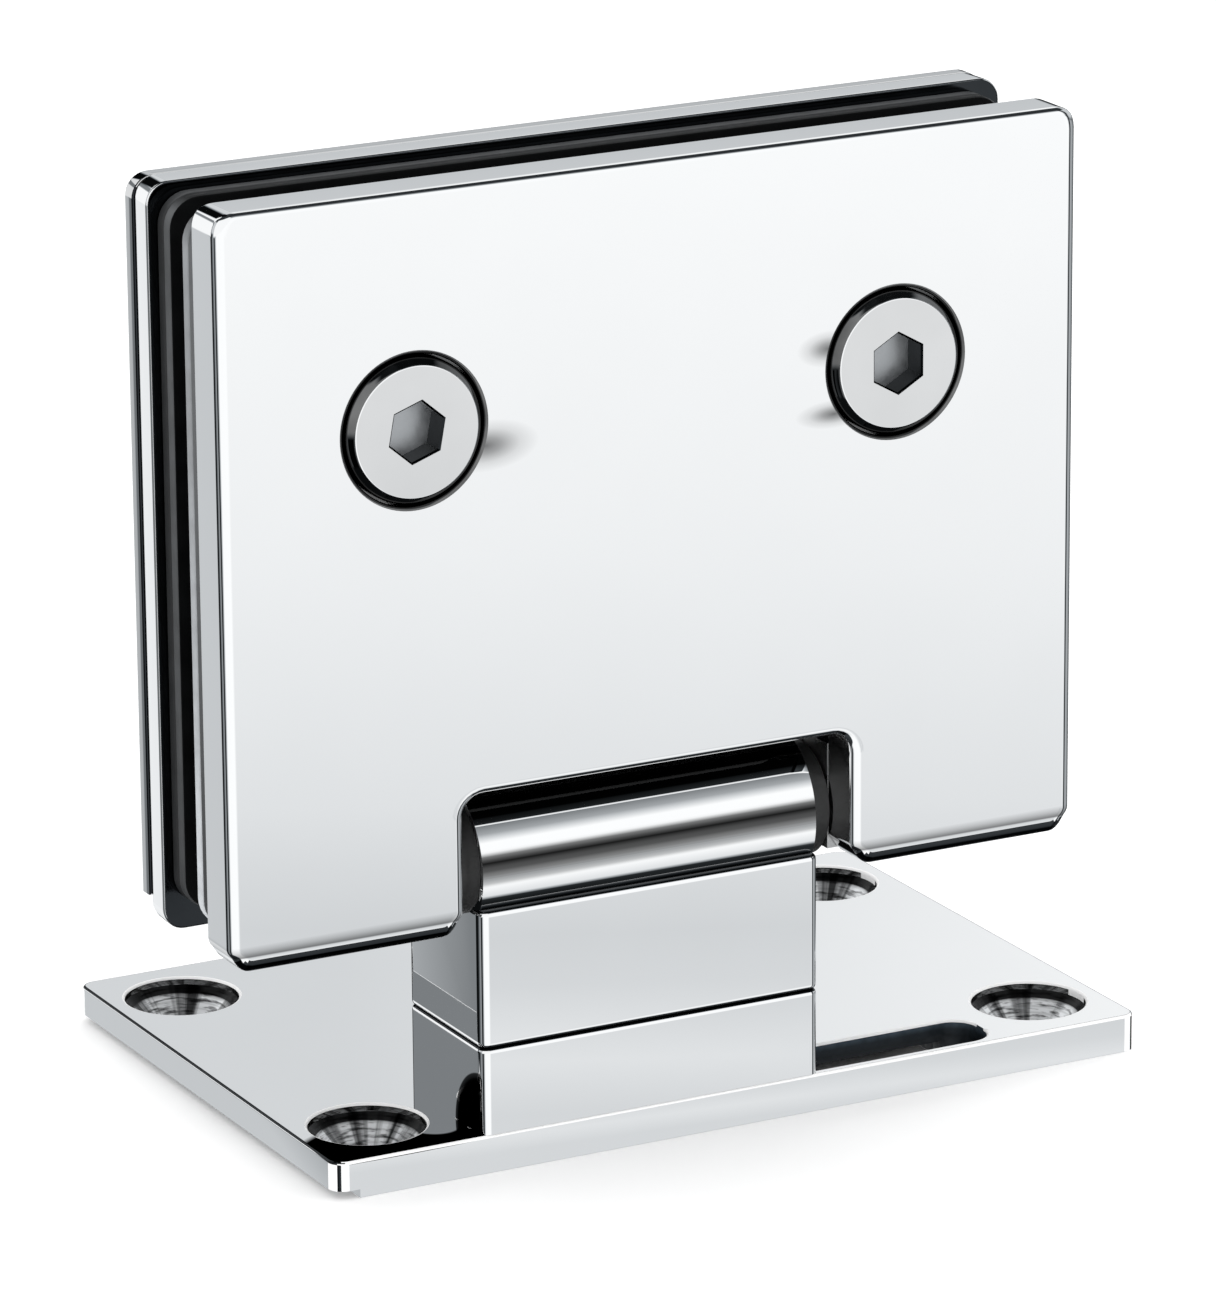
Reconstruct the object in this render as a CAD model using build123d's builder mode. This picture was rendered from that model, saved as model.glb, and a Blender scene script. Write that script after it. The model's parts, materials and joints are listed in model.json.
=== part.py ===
from build123d import *
import os

# A right-angle hinge for a frameless glass door. The wall plate lies flat on its mounting
# face, +Z points away from the wall, and the leaf stands over it in its closed position.
# The origin is the centre of the four wall screws, on the mounting face. All sizes are mm.

# Wall plate
wall_width = 88.0
wall_depth = 59.0
wall_thickness = 3.8
wall_corner_radius = 1.0
wall_edge_round = 0.4
wall_hole_spacing_x = 73.0
wall_hole_spacing_y = 42.0
wall_hole_radius = 2.9
wall_sink_radius = 5.7
wall_sink_rim = 0.8
rebate_width = 2.6
rebate_depth = 0.85

# Block and knuckle, carried at the front edge of the wall plate
block_offset = -10.2
block_width = 36.4
block_corner_radius = 0.8
block_edge_round = 0.5
foot_height = 8.6
knuckle_height = 13.7
barrel_radius = 7.8
barrel_rise = 3.3
barrel_end_length = 0.35
barrel_end_depth = 1.0

# Adjusting slot, the strip that clamps the block through it, and its screws
slide_travel = 20.4
slot_width = 6.5
slot_lip = 0.9
slot_corner_radius = 2.6
strip_ledge = 4.9
strip_recess_depth = 1.7
strip_lift = 0.1
block_screw_inset = 7.2
block_screw_radius = 2.0
block_screw_length = 20.0
block_screw_head_radius = 2.9
block_screw_socket = 2.5
block_screw_socket_depth = 1.6

# Pin, bushes and washers
pin_radius = 4.0
pin_flat_distance = 3.4
pin_flat_length = 8.0
pin_bore_radius = 4.6
bush_radius = 5.0
bush_length = 10.0
bush_flange_radius = 5.6
bush_flange_thickness = 1.0
washer_thickness = 1.35

# Sprung plunger under the pin
plunger_radius = 3.45
plunger_length = 5.0
spigot_radius = 1.9
spigot_length = 1.6
spring_radius = 2.65
spring_wire = 0.8
spring_turns = 3.5
seat_radius = 4.0
seat_thickness = 2.2
seat_inset = 0.4
seat_socket = 4.0
seat_socket_depth = 1.2

# Leaf: two clamp plates, a cover and the gaskets
plate_width = 90.0
plate_height = 72.0
plate_thickness = 5.0
plate_corner_radius = 2.2
plate_bevel = 0.8
plate_inner_bevel = 0.25
plate_gap = 9.6
plate_drop = 4.5
cut_side_gap = 2.55
cut_top_gap = 1.25
cover_thickness = 1.9
cover_step = 2.7
seam_bevel = 0.2
gasket_thickness = 1.3
gasket_inset = 1.0
gasket_foot = 2.5
gasket_corner_radius = 3.0
gasket_foot_flat = 1.15
gasket_clearance = 0.5

# Clamp screws, with the bosses they bite into and the sleeves that keep the glass off them
clamp_screw_spacing = 50.6
clamp_screw_height = 49.5
clamp_screw_radius = 4.0
clamp_head_radius = 7.0
clamp_head_height = 3.4
clamp_head_proud = 0.6
clamp_head_round = 1.0
clamp_socket = 5.0
clamp_socket_depth = 2.6
clamp_socket_turn = {"left": 19.4, "right": 30.0}
sleeve_radius = 5.4
boss_reach = 2.4

# Seats that grip the ends of the pin
seat_block_length = 15.6
seat_block_rise = 6.6
seat_block_foot = 0.5
seat_block_slack = 0.1
pin_end_flat = 2.3
pin_screw_spacing = 7.6
pin_screw_radius = 2.0
pin_screw_length = 11.6
pin_screw_head_radius = 3.3
pin_screw_socket = 2.5
pin_screw_socket_depth = 1.5

# Screws that hold the cover to the rear plate
cover_screw_spacing = 60.0
cover_screw_height = 20.0
cover_screw_radius = 1.5
cover_screw_head_radius = 2.8
cover_screw_socket = 2.0
cover_screw_socket_depth = 1.0
cover_screw_bite = 1.2

# Clearances
running_clearance = 0.05
press_clearance = 0.02
thread_clearance = 0.02
slide_clearance = 0.1
end_clearance = 0.2
hole_clearance = 0.2
drill_clearance = 0.5

# Places that follow from the sizes above
sides = {"left": -1, "right": 1}
wall_front = -wall_depth / 2
axis_y = wall_front + barrel_radius
foot_top = wall_thickness + foot_height
knuckle_top = foot_top + knuckle_height
axis_z = knuckle_top + barrel_rise
pin_axis = Axis((0, axis_y, axis_z), (1, 0, 0))
slot_length = block_width + slide_travel
slot_x = block_offset + slide_travel / 2
slot_y = wall_front + slot_lip + slot_width / 2
slot_back = slot_y + slot_width / 2
strip_width = slot_width - 2 * slide_clearance
strip_length = block_width - 2 * end_clearance
ledge_length = strip_length - 2 * slot_corner_radius
block_screw_spacing = block_width - 2 * block_screw_inset
washer_radius = bush_flange_radius
plunger_top = axis_z - pin_radius - running_clearance
plunger_shoulder = plunger_top - plunger_length
seat_top = foot_top + seat_inset + seat_thickness
plate_bottom = axis_z - plate_drop
plate_top = plate_bottom + plate_height
cut_width = block_width + 2 * cut_side_gap
cut_top = axis_z + barrel_radius + cut_top_gap
front_inner = axis_y - plate_gap / 2
front_face = front_inner - plate_thickness
rear_inner = axis_y + plate_gap / 2
rear_seam = rear_inner + plate_thickness - cover_thickness
rear_face = rear_seam + cover_thickness
clamp_screw_z = plate_bottom + clamp_screw_height
boss_face = rear_inner - boss_reach
seat_near = cut_width / 2
seat_far = seat_near + seat_block_length
seat_middle = (seat_near + seat_far) / 2
seat_bottom = plate_bottom + seat_block_foot
seat_height = axis_z + seat_block_rise - seat_bottom
pin_length = 2 * seat_far - 2 * drill_clearance
gasket_opening_width = 2 * (seat_far + gasket_clearance)
gasket_opening_top = cut_top + gasket_inset
gasket_foot_width = plate_width / 2 - gasket_inset - gasket_opening_width / 2
gasket_foot_radius = (gasket_foot_width - gasket_foot_flat) / 2
cover_screw_z = plate_bottom + cover_screw_height


def front_plane(x, y, z):
    """A plane that looks out of the front of the hinge, with its Y axis along +Z."""
    return Plane(origin=(x, y, z), x_dir=(1, 0, 0), z_dir=(0, -1, 0))


def end_plane(x, sign):
    """A plane square to the pin, centred on it and looking towards the sign's end of X."""
    return Plane(origin=(x, axis_y, axis_z), x_dir=(0, sign, 0), z_dir=(sign, 0, 0))


def leaf_outline(bottom, inset, opening_width, opening_top, corner_radius, foot_radius):
    """Draw the outline shared by plates and gaskets: a rectangle notched for the knuckle."""
    top = plate_top - inset
    with Locations((block_offset, (top + bottom) / 2)):
        Rectangle(plate_width - 2 * inset, top - bottom)
    with Locations((block_offset, bottom)):
        Rectangle(opening_width, 2 * (opening_top - bottom), mode=Mode.SUBTRACT)
    fillet(vertices().sort_by(Axis.Y)[4:], corner_radius)
    if foot_radius > 0:
        fillet(vertices().sort_by(Axis.Y)[:4], foot_radius)


def hex_socket(plane, size, depth, turn=0):
    """Sink a hexagon socket into the current part."""
    with BuildSketch(plane) as socket:
        RegularPolygon(size / 2, 6, major_radius=False, rotation=turn)
    extrude(socket.sketch, amount=-depth, mode=Mode.SUBTRACT)


def sunk_screw(plane, length, radius, head_radius, socket, socket_depth):
    """Add a countersunk screw to the current part, its head flush with the plane."""
    below = (Align.CENTER, Align.CENTER, Align.MAX)
    with Locations(plane):
        Cylinder(radius, length, align=below)
        Cone(radius, head_radius, head_radius - radius, align=below)
    hex_socket(plane, socket, socket_depth)


def save(piece, label):
    piece.part.label = label
    export_step(piece.part, f"parts/{label}.step")


os.makedirs("parts", exist_ok=True)

# Wall plate: four sunk holes, the adjusting slot with a ledge recess behind it on the
# underside, and a shallow rebate under the left end
with BuildPart() as wall_plate:
    with BuildSketch():
        RectangleRounded(wall_width, wall_depth, wall_corner_radius)
    extrude(amount=wall_thickness)
    fillet(wall_plate.faces().sort_by(Axis.Z)[-1].edges(), wall_edge_round)
    with Locations((0, 0, wall_thickness)):
        with GridLocations(wall_hole_spacing_x, wall_hole_spacing_y, 2, 2):
            Hole(wall_sink_radius, depth=wall_sink_rim)
    with Locations((0, 0, wall_thickness - wall_sink_rim)):
        with GridLocations(wall_hole_spacing_x, wall_hole_spacing_y, 2, 2):
            CounterSinkHole(wall_hole_radius, wall_sink_radius, counter_sink_angle=90)
    with BuildSketch():
        with Locations((slot_x, slot_y)):
            RectangleRounded(slot_length, slot_width, slot_corner_radius)
    extrude(amount=wall_thickness, mode=Mode.SUBTRACT)
    recess_reach = strip_ledge + 2 * slide_clearance
    with BuildSketch():
        with Locations((slot_x, slot_back)):
            Rectangle(slot_length - 2 * slot_corner_radius, recess_reach, align=(Align.CENTER, Align.MIN))
    extrude(amount=strip_recess_depth, mode=Mode.SUBTRACT)
    with BuildSketch():
        with Locations((-wall_width / 2, 0)):
            Rectangle(rebate_width, wall_depth, align=(Align.MIN, Align.CENTER))
    extrude(amount=rebate_depth, mode=Mode.SUBTRACT)
save(wall_plate, "wall_plate")

# Foot of the block, drilled for the two screws that hold the block together
with BuildPart() as foot_block:
    with BuildSketch(Plane.XY.offset(wall_thickness)):
        with Locations((block_offset, axis_y)):
            RectangleRounded(block_width, 2 * barrel_radius, block_corner_radius)
    extrude(amount=foot_height)
    fillet(foot_block.faces().sort_by(Axis.Z)[-1].edges(), block_edge_round)
    with Locations((block_offset, slot_y, foot_top)):
        with GridLocations(block_screw_spacing, 1, 2, 1):
            Hole(block_screw_radius + hole_clearance)
save(foot_block, "foot_block")

# Knuckle: upper block and barrel in one, bored for the pin, bushes, plunger and screws
with BuildPart() as knuckle:
    with BuildSketch(Plane.XY.offset(foot_top)):
        with Locations((block_offset, axis_y)):
            RectangleRounded(block_width, 2 * barrel_radius, block_corner_radius)
    extrude(amount=knuckle_height)
    fillet(knuckle.faces().sort_by(Axis.Z)[-1].edges(), block_edge_round)
    fillet(knuckle.faces().sort_by(Axis.Z)[0].edges(), block_edge_round)
    with BuildSketch(front_plane(block_offset, axis_y, axis_z)):
        with BuildLine():
            end = block_width / 2
            shoulder = end - barrel_end_length
            end_radius = barrel_radius - barrel_end_depth
            Polyline(
                (-end, 0), (-end, end_radius), (-shoulder, barrel_radius),
                (shoulder, barrel_radius), (end, end_radius), (end, 0), close=True,
            )
        make_face()
    revolve(axis=pin_axis)
    for sign in sides.values():
        with Locations(end_plane(block_offset + sign * block_width / 2, sign)):
            Hole(bush_radius + press_clearance, depth=bush_length)
            Hole(pin_bore_radius, depth=block_width / 2)
    with Locations(Plane(origin=(block_offset, axis_y, foot_top), z_dir=(0, 0, -1))):
        Hole(plunger_radius + running_clearance, depth=axis_z - foot_top)
        Hole(seat_radius + thread_clearance, depth=seat_inset + seat_thickness)
    with Locations(Plane(origin=(block_offset, slot_y, foot_top), z_dir=(0, 0, -1))):
        with GridLocations(block_screw_spacing, 1, 2, 1):
            Hole(
                block_screw_radius + thread_clearance,
                depth=block_screw_length + 2 * strip_lift - foot_top + drill_clearance,
            )
save(knuckle, "knuckle")

# Flanged bushes pressed into the barrel, and the washers between them and the leaf
for side, sign in sides.items():
    barrel_end = end_plane(block_offset + sign * block_width / 2, sign)
    with BuildPart() as bush:
        with Locations(barrel_end):
            Cylinder(bush_radius, bush_length, align=(Align.CENTER, Align.CENTER, Align.MAX))
            Cylinder(
                bush_flange_radius, bush_flange_thickness,
                align=(Align.CENTER, Align.CENTER, Align.MIN),
            )
            Hole(pin_radius + running_clearance)
    save(bush, f"bush_{side}")

    with BuildPart() as thrust_washer:
        with BuildSketch(barrel_end.offset(bush_flange_thickness)):
            Circle(washer_radius)
            Circle(pin_radius + running_clearance, mode=Mode.SUBTRACT)
        extrude(amount=washer_thickness)
    save(thrust_washer, f"thrust_washer_{side}")

# Sprung plunger that drops into the flats of the pin, with the screw its spring stands on
with BuildPart() as detent_plunger:
    with Locations((block_offset, axis_y, plunger_top)):
        Cylinder(plunger_radius, plunger_length, align=(Align.CENTER, Align.CENTER, Align.MAX))
    with Locations((block_offset, axis_y, plunger_shoulder)):
        Cylinder(spigot_radius, spigot_length, align=(Align.CENTER, Align.CENTER, Align.MAX))
save(detent_plunger, "detent_plunger")

with BuildPart() as detent_spring:
    coil_height = plunger_shoulder - seat_top - spring_wire
    with BuildLine() as coil:
        Helix(
            pitch=coil_height / spring_turns, height=coil_height, radius=spring_radius,
            center=(block_offset, axis_y, seat_top + spring_wire / 2),
        )
    with BuildSketch(Plane(origin=coil.line @ 0, x_dir=(1, 0, 0), z_dir=coil.line % 0)):
        Rectangle(spring_wire, spring_wire)
    sweep(is_frenet=True)
save(detent_spring, "detent_spring")

with BuildPart() as spring_seat_screw:
    with Locations((block_offset, axis_y, seat_top)):
        Cylinder(seat_radius, seat_thickness, align=(Align.CENTER, Align.CENTER, Align.MAX))
    seat_under = Plane(origin=(block_offset, axis_y, foot_top + seat_inset), z_dir=(0, 0, -1))
    hex_socket(seat_under, seat_socket, seat_socket_depth)
save(spring_seat_screw, "spring_seat_screw")

# Strip that slides in the slot: its tongue guides the block, its ledge grips the wall plate
with BuildPart() as slide_strip:
    with BuildSketch(Plane.XY.offset(strip_lift)):
        with Locations((block_offset, slot_y)):
            RectangleRounded(strip_length, strip_width, slot_corner_radius - slide_clearance)
    extrude(amount=wall_thickness - 2 * strip_lift)
    with BuildSketch(Plane.XY.offset(strip_lift)):
        with Locations((block_offset, slot_y)):
            Rectangle(ledge_length, strip_width / 2 + strip_ledge, align=(Align.CENTER, Align.MIN))
    extrude(amount=strip_recess_depth - strip_lift)
    with Locations(Plane(origin=(block_offset, slot_y, strip_lift), z_dir=(0, 0, -1))):
        with GridLocations(block_screw_spacing, 1, 2, 1):
            CounterSinkHole(
                block_screw_radius + hole_clearance,
                block_screw_head_radius + hole_clearance, counter_sink_angle=90,
            )
save(slide_strip, "slide_strip")

for side, sign in sides.items():
    with BuildPart() as block_screw:
        screw_x = block_offset + sign * block_screw_spacing / 2
        sunk_screw(
            Plane(origin=(screw_x, slot_y, 2 * strip_lift), z_dir=(0, 0, -1)), block_screw_length,
            block_screw_radius, block_screw_head_radius, block_screw_socket, block_screw_socket_depth,
        )
    save(block_screw, f"block_screw_{side}")

# Front plate of the leaf: bevelled all round its face, counterbored for the clamp screws
with BuildPart() as front_plate:
    with BuildSketch(front_plane(0, front_inner, 0)):
        leaf_outline(plate_bottom, 0, cut_width, cut_top, plate_corner_radius, plate_corner_radius)
    extrude(amount=plate_thickness)
    chamfer(front_plate.faces().sort_by(Axis.Y)[0].edges(), plate_bevel)
    chamfer(front_plate.faces().sort_by(Axis.Y)[-1].edges(), plate_inner_bevel)
    with Locations(front_plane(block_offset, front_face, clamp_screw_z)):
        with GridLocations(clamp_screw_spacing, 1, 2, 1):
            CounterBoreHole(
                clamp_screw_radius + hole_clearance, clamp_head_radius + hole_clearance,
                clamp_head_height - clamp_head_proud,
            )
save(front_plate, "front_plate")

# Rear plate of the leaf, with the seats for the pin and the bosses for the clamp screws
with BuildPart() as rear_plate:
    with BuildSketch(front_plane(0, rear_seam, 0)):
        leaf_outline(plate_bottom, 0, cut_width, cut_top, plate_corner_radius, plate_corner_radius)
    extrude(amount=rear_seam - rear_inner)
    chamfer(rear_plate.faces().sort_by(Axis.Y)[-1].edges(), seam_bevel)
    chamfer(rear_plate.faces().sort_by(Axis.Y)[0].edges(), plate_inner_bevel)
    with Locations(front_plane(block_offset, rear_inner, clamp_screw_z)):
        with GridLocations(clamp_screw_spacing, 1, 2, 1):
            Cylinder(sleeve_radius, boss_reach, align=(Align.CENTER, Align.CENTER, Align.MIN))
    with Locations(front_plane(block_offset, boss_face, clamp_screw_z)):
        with GridLocations(clamp_screw_spacing, 1, 2, 1):
            Hole(clamp_screw_radius + thread_clearance)
    for sign in sides.values():
        with Locations((block_offset + sign * seat_middle, axis_y, seat_bottom)):
            Box(
                seat_block_length, rear_inner - axis_y, seat_height,
                align=(Align.CENTER, Align.MIN, Align.MIN),
            )
        with Locations(end_plane(block_offset + sign * seat_far, sign)):
            Cylinder(
                pin_radius + press_clearance, seat_block_length,
                align=(Align.CENTER, Align.CENTER, Align.MAX), mode=Mode.SUBTRACT,
            )
        with Locations(front_plane(block_offset + sign * seat_middle, axis_y, axis_z)):
            with GridLocations(pin_screw_spacing, 1, 2, 1):
                Hole(
                    pin_screw_radius + thread_clearance,
                    depth=pin_screw_length - plate_gap / 2 + drill_clearance,
                )
    with Locations(front_plane(block_offset, rear_inner, cover_screw_z)):
        with GridLocations(cover_screw_spacing, 1, 2, 1):
            CounterSinkHole(
                cover_screw_radius + hole_clearance, cover_screw_head_radius + hole_clearance,
                counter_sink_angle=90,
            )
save(rear_plate, "rear_plate")

# Cover over the back of the rear plate, cut short and square at its foot
with BuildPart() as rear_cover:
    with BuildSketch(front_plane(0, rear_face, 0)):
        leaf_outline(plate_bottom + cover_step, 0, cut_width, cut_top, plate_corner_radius, 0)
    extrude(amount=cover_thickness)
    chamfer(rear_cover.faces().sort_by(Axis.Y)[-1].edges(), plate_bevel)
    chamfer(rear_cover.faces().sort_by(Axis.Y)[0].edges(), seam_bevel)
    with Locations(front_plane(block_offset, rear_seam, cover_screw_z)):
        with GridLocations(cover_screw_spacing, 1, 2, 1):
            Hole(cover_screw_radius + thread_clearance, depth=cover_screw_bite + end_clearance)
save(rear_cover, "rear_cover")

for side, sign in sides.items():
    with BuildPart() as cover_screw:
        screw_x = block_offset + sign * cover_screw_spacing / 2
        screw_y = rear_inner + slide_clearance
        sunk_screw(
            front_plane(screw_x, screw_y, cover_screw_z), rear_seam + cover_screw_bite - screw_y,
            cover_screw_radius, cover_screw_head_radius, cover_screw_socket, cover_screw_socket_depth,
        )
    save(cover_screw, f"cover_screw_{side}")

# Two layers of gasket on each plate, cut away round the pin seats and the clamp screws
gasket_backs = {
    "front_gasket_outer": front_inner + gasket_thickness,
    "front_gasket_inner": front_inner + 2 * gasket_thickness,
    "rear_gasket_inner": rear_inner - gasket_thickness,
    "rear_gasket_outer": rear_inner,
}
for label, back in gasket_backs.items():
    with BuildPart() as gasket:
        with BuildSketch(front_plane(0, back, 0)):
            leaf_outline(
                plate_bottom + gasket_foot, gasket_inset, gasket_opening_width,
                gasket_opening_top, gasket_corner_radius, gasket_foot_radius,
            )
            with Locations((block_offset, clamp_screw_z)):
                with GridLocations(clamp_screw_spacing, 1, 2, 1):
                    Circle(sleeve_radius + hole_clearance, mode=Mode.SUBTRACT)
        extrude(amount=gasket_thickness)
    save(gasket, label)

# Clamp screws with low round heads, each through a sleeve that spans the glass gap
for side, sign in sides.items():
    clamp_x = block_offset + sign * clamp_screw_spacing / 2
    head_plane = front_plane(clamp_x, front_face - clamp_head_proud, clamp_screw_z)
    with BuildPart() as clamp_screw:
        with Locations(head_plane):
            Cylinder(
                clamp_head_radius, clamp_head_height, align=(Align.CENTER, Align.CENTER, Align.MAX)
            )
            Cylinder(
                clamp_screw_radius, rear_seam - drill_clearance - head_plane.origin.Y,
                align=(Align.CENTER, Align.CENTER, Align.MAX),
            )
        fillet(clamp_screw.faces().sort_by(Axis.Y)[0].edges(), clamp_head_round)
        hex_socket(head_plane, clamp_socket, clamp_socket_depth, clamp_socket_turn[side])
    save(clamp_screw, f"clamp_screw_{side}")

    with BuildPart() as screw_sleeve:
        with BuildSketch(front_plane(clamp_x, boss_face - slide_clearance, clamp_screw_z)):
            Circle(sleeve_radius)
            Circle(clamp_screw_radius + hole_clearance, mode=Mode.SUBTRACT)
        extrude(amount=plate_gap - boss_reach - 2 * slide_clearance)
    save(screw_sleeve, f"screw_sleeve_{side}")

# Pin: four flats under the knuckle for the plunger, a long flat and two holes at each end
with BuildPart() as pivot_pin:
    with Locations(end_plane(block_offset, 1)):
        Cylinder(pin_radius, pin_length)
    with BuildSketch(end_plane(block_offset - pin_flat_length / 2, 1)):
        Circle(pin_radius + hole_clearance)
        Rectangle(2 * pin_flat_distance, 2 * pin_flat_distance, mode=Mode.SUBTRACT)
    extrude(amount=pin_flat_length, mode=Mode.SUBTRACT)
    for sign in sides.values():
        with Locations((block_offset + sign * seat_near, axis_y - pin_end_flat, axis_z)):
            Box(
                seat_block_length, pin_radius, 2 * pin_radius,
                align=((Align.MIN if sign > 0 else Align.MAX), Align.MAX, Align.CENTER),
                mode=Mode.SUBTRACT,
            )
        with Locations(front_plane(block_offset + sign * seat_middle, axis_y - pin_end_flat, axis_z)):
            with GridLocations(pin_screw_spacing, 1, 2, 1):
                Hole(pin_screw_radius + hole_clearance)
save(pivot_pin, "pivot_pin")

# Bars that clamp the ends of the pin against the seats of the rear plate
for side, sign in sides.items():
    with BuildPart() as pin_clamp:
        with Locations((block_offset + sign * seat_middle, front_inner, seat_bottom)):
            Box(
                seat_block_length, plate_gap / 2 - seat_block_slack, seat_height,
                align=(Align.CENTER, Align.MIN, Align.MIN),
            )
        with BuildSketch(end_plane(block_offset + sign * seat_far, sign)):
            Circle(pin_radius + press_clearance)
            with Locations((-sign * (pin_end_flat + press_clearance), 0)):
                Rectangle(
                    2 * pin_radius, 3 * pin_radius,
                    align=((Align.MAX if sign > 0 else Align.MIN), Align.CENTER), mode=Mode.SUBTRACT,
                )
        extrude(amount=-seat_block_length, mode=Mode.SUBTRACT)
        with Locations(front_plane(block_offset + sign * seat_middle, front_inner, axis_z)):
            with GridLocations(pin_screw_spacing, 1, 2, 1):
                CounterSinkHole(
                    pin_screw_radius + hole_clearance, pin_screw_head_radius + hole_clearance,
                    counter_sink_angle=90,
                )
    save(pin_clamp, f"pin_clamp_{side}")

    for place, step in {"inner": -1, "outer": 1}.items():
        with BuildPart() as pin_screw:
            screw_x = block_offset + sign * (seat_middle + step * pin_screw_spacing / 2)
            sunk_screw(
                front_plane(screw_x, front_inner + slide_clearance, axis_z), pin_screw_length,
                pin_screw_radius, pin_screw_head_radius, pin_screw_socket, pin_screw_socket_depth,
            )
        save(pin_screw, f"pin_screw_{side}_{place}")
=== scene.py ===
# %% [markdown]
# # A polished hinge for a glass door
# The part was drawn in CAD and packed as a fixed frame. This lesson dresses that frame: it sets
# up the camera and a plain studio, makes the finishes, and models each piece that shows with
# Blender's own operators. Lengths are in metres, as Blender keeps them, and mm turns the
# millimetres of a drawing into metres.

# %% Load the frame
import bpy
import bmesh
import json
import math
from mathutils import Matrix, Vector


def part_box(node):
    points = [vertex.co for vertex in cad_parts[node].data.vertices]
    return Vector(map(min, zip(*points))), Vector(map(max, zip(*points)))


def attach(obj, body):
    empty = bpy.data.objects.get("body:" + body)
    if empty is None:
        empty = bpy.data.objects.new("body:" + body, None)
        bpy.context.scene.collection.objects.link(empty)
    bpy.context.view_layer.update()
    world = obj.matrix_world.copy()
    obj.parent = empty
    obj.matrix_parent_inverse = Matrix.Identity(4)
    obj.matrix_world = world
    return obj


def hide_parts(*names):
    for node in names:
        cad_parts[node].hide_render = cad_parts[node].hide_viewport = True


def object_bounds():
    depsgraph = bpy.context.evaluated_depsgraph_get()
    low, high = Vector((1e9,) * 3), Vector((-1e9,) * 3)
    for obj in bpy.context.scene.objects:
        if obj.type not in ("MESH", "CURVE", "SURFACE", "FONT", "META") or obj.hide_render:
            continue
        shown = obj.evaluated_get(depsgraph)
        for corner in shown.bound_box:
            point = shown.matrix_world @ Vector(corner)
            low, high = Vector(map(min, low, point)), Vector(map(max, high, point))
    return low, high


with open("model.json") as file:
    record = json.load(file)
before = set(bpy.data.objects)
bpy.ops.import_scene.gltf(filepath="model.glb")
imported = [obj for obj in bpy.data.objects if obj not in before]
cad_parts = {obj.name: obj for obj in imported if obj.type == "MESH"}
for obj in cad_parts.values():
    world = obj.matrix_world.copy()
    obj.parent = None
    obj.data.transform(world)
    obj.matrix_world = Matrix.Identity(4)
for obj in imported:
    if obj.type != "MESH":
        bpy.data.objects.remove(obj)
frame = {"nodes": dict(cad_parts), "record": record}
cad_low, cad_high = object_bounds()
mm = 0.001
print("CAD box in mm", [round(v / mm, 1) for v in (cad_high - cad_low)])

# %% [markdown]
# ## The camera
# A long lens from a little above and to the left gives the calm, nearly parallel edges of a
# catalogue picture. The camera is built from its angles: the back axis points from the hinge to
# the lens, and the other two axes follow from it, with a small roll.

# %% Camera
azimuth = math.radians(-27.57)
elevation = math.radians(16.78)
roll = math.radians(-0.46)
aim = Vector((-10.83, -22.15, 47.72)) * mm
camera_distance = 745.0 * mm
back = Vector((
    math.sin(azimuth) * math.cos(elevation),
    -math.cos(azimuth) * math.cos(elevation),
    math.sin(elevation),
))
level = Vector((math.cos(azimuth), math.sin(azimuth), 0))
upward = back.cross(level)
right = math.cos(roll) * level + math.sin(roll) * upward
up = -math.sin(roll) * level + math.cos(roll) * upward
bpy.ops.object.camera_add(location=(0, 0, 0))
camera = bpy.context.object
camera.name = "studio_camera"
camera.matrix_world = Matrix.Translation(aim + back * camera_distance) @ Matrix(
    (right, up, back)
).transposed().to_4x4()
camera.data.lens = 218.8
camera.data.sensor_width = 36
camera.data.clip_start = 0.01
bpy.context.scene.camera = camera
print("camera at", [round(v, 3) for v in camera.matrix_world.translation])

# %% [markdown]
# ## The studio
# Polished metal shows its surroundings more than itself, so the studio is most of the look. The
# floor and the background are plain and pale. What the metal mirrors is a tent of white and grey
# cloth with dark gaps, as a photographer builds round a bright object to give its edges a line.
# The world shader makes both: glossy rays see the tent, and all others see plain white.
#
# A direction is given by its turn, the compass angle from the front of the hinge, and by its
# pitch, the angle above the horizon. A shade is the grey, up to 255, that the metal should show.

# %% World tools
world = bpy.data.worlds.new("white_tent")
bpy.context.scene.world = world
world.use_nodes = True
tent = world.node_tree
tent.nodes.clear()
bpy.context.scene.view_settings.view_transform = "Standard"
chrome_share = 0.94  # the share of the light that chrome gives back


def light_for(shade):
    """The light that makes the metal show a shade of grey."""
    return ((shade / 255 + 0.055) / 1.055) ** 2.4 / chrome_share


def math_node(tree, operation, *values):
    """A Math node. Each input is a socket or a number."""
    node = tree.nodes.new("ShaderNodeMath")
    node.operation = operation
    for socket, value in zip(node.inputs, values):
        if isinstance(value, (int, float)):
            socket.default_value = value
        else:
            tree.links.new(value, socket)
    return node.outputs[0]


def ramp_along(tree, value, stops, level):
    """A grey that runs through stops along a value. A stop is a value and what level takes."""
    first, last = stops[0][0], stops[-1][0]
    span = tree.nodes.new("ShaderNodeMapRange")
    span.inputs["From Min"].default_value = first
    span.inputs["From Max"].default_value = last
    tree.links.new(value, span.inputs["Value"])
    ramp = tree.nodes.new("ShaderNodeValToRGB")
    tree.links.new(span.outputs["Result"], ramp.inputs["Fac"])
    elements = ramp.color_ramp.elements
    while len(elements) < len(stops):
        elements.new(0.5)
    for element, (where, given) in zip(elements, stops):
        element.position = (where - first) / (last - first)
        element.color = (*[level(given)] * 3, 1)
    return ramp.outputs["Color"]


def cloth(value, stops):
    """Cloth whose shade runs through given stops along a turn or a pitch."""
    return ramp_along(tent, value, stops, light_for)


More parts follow.
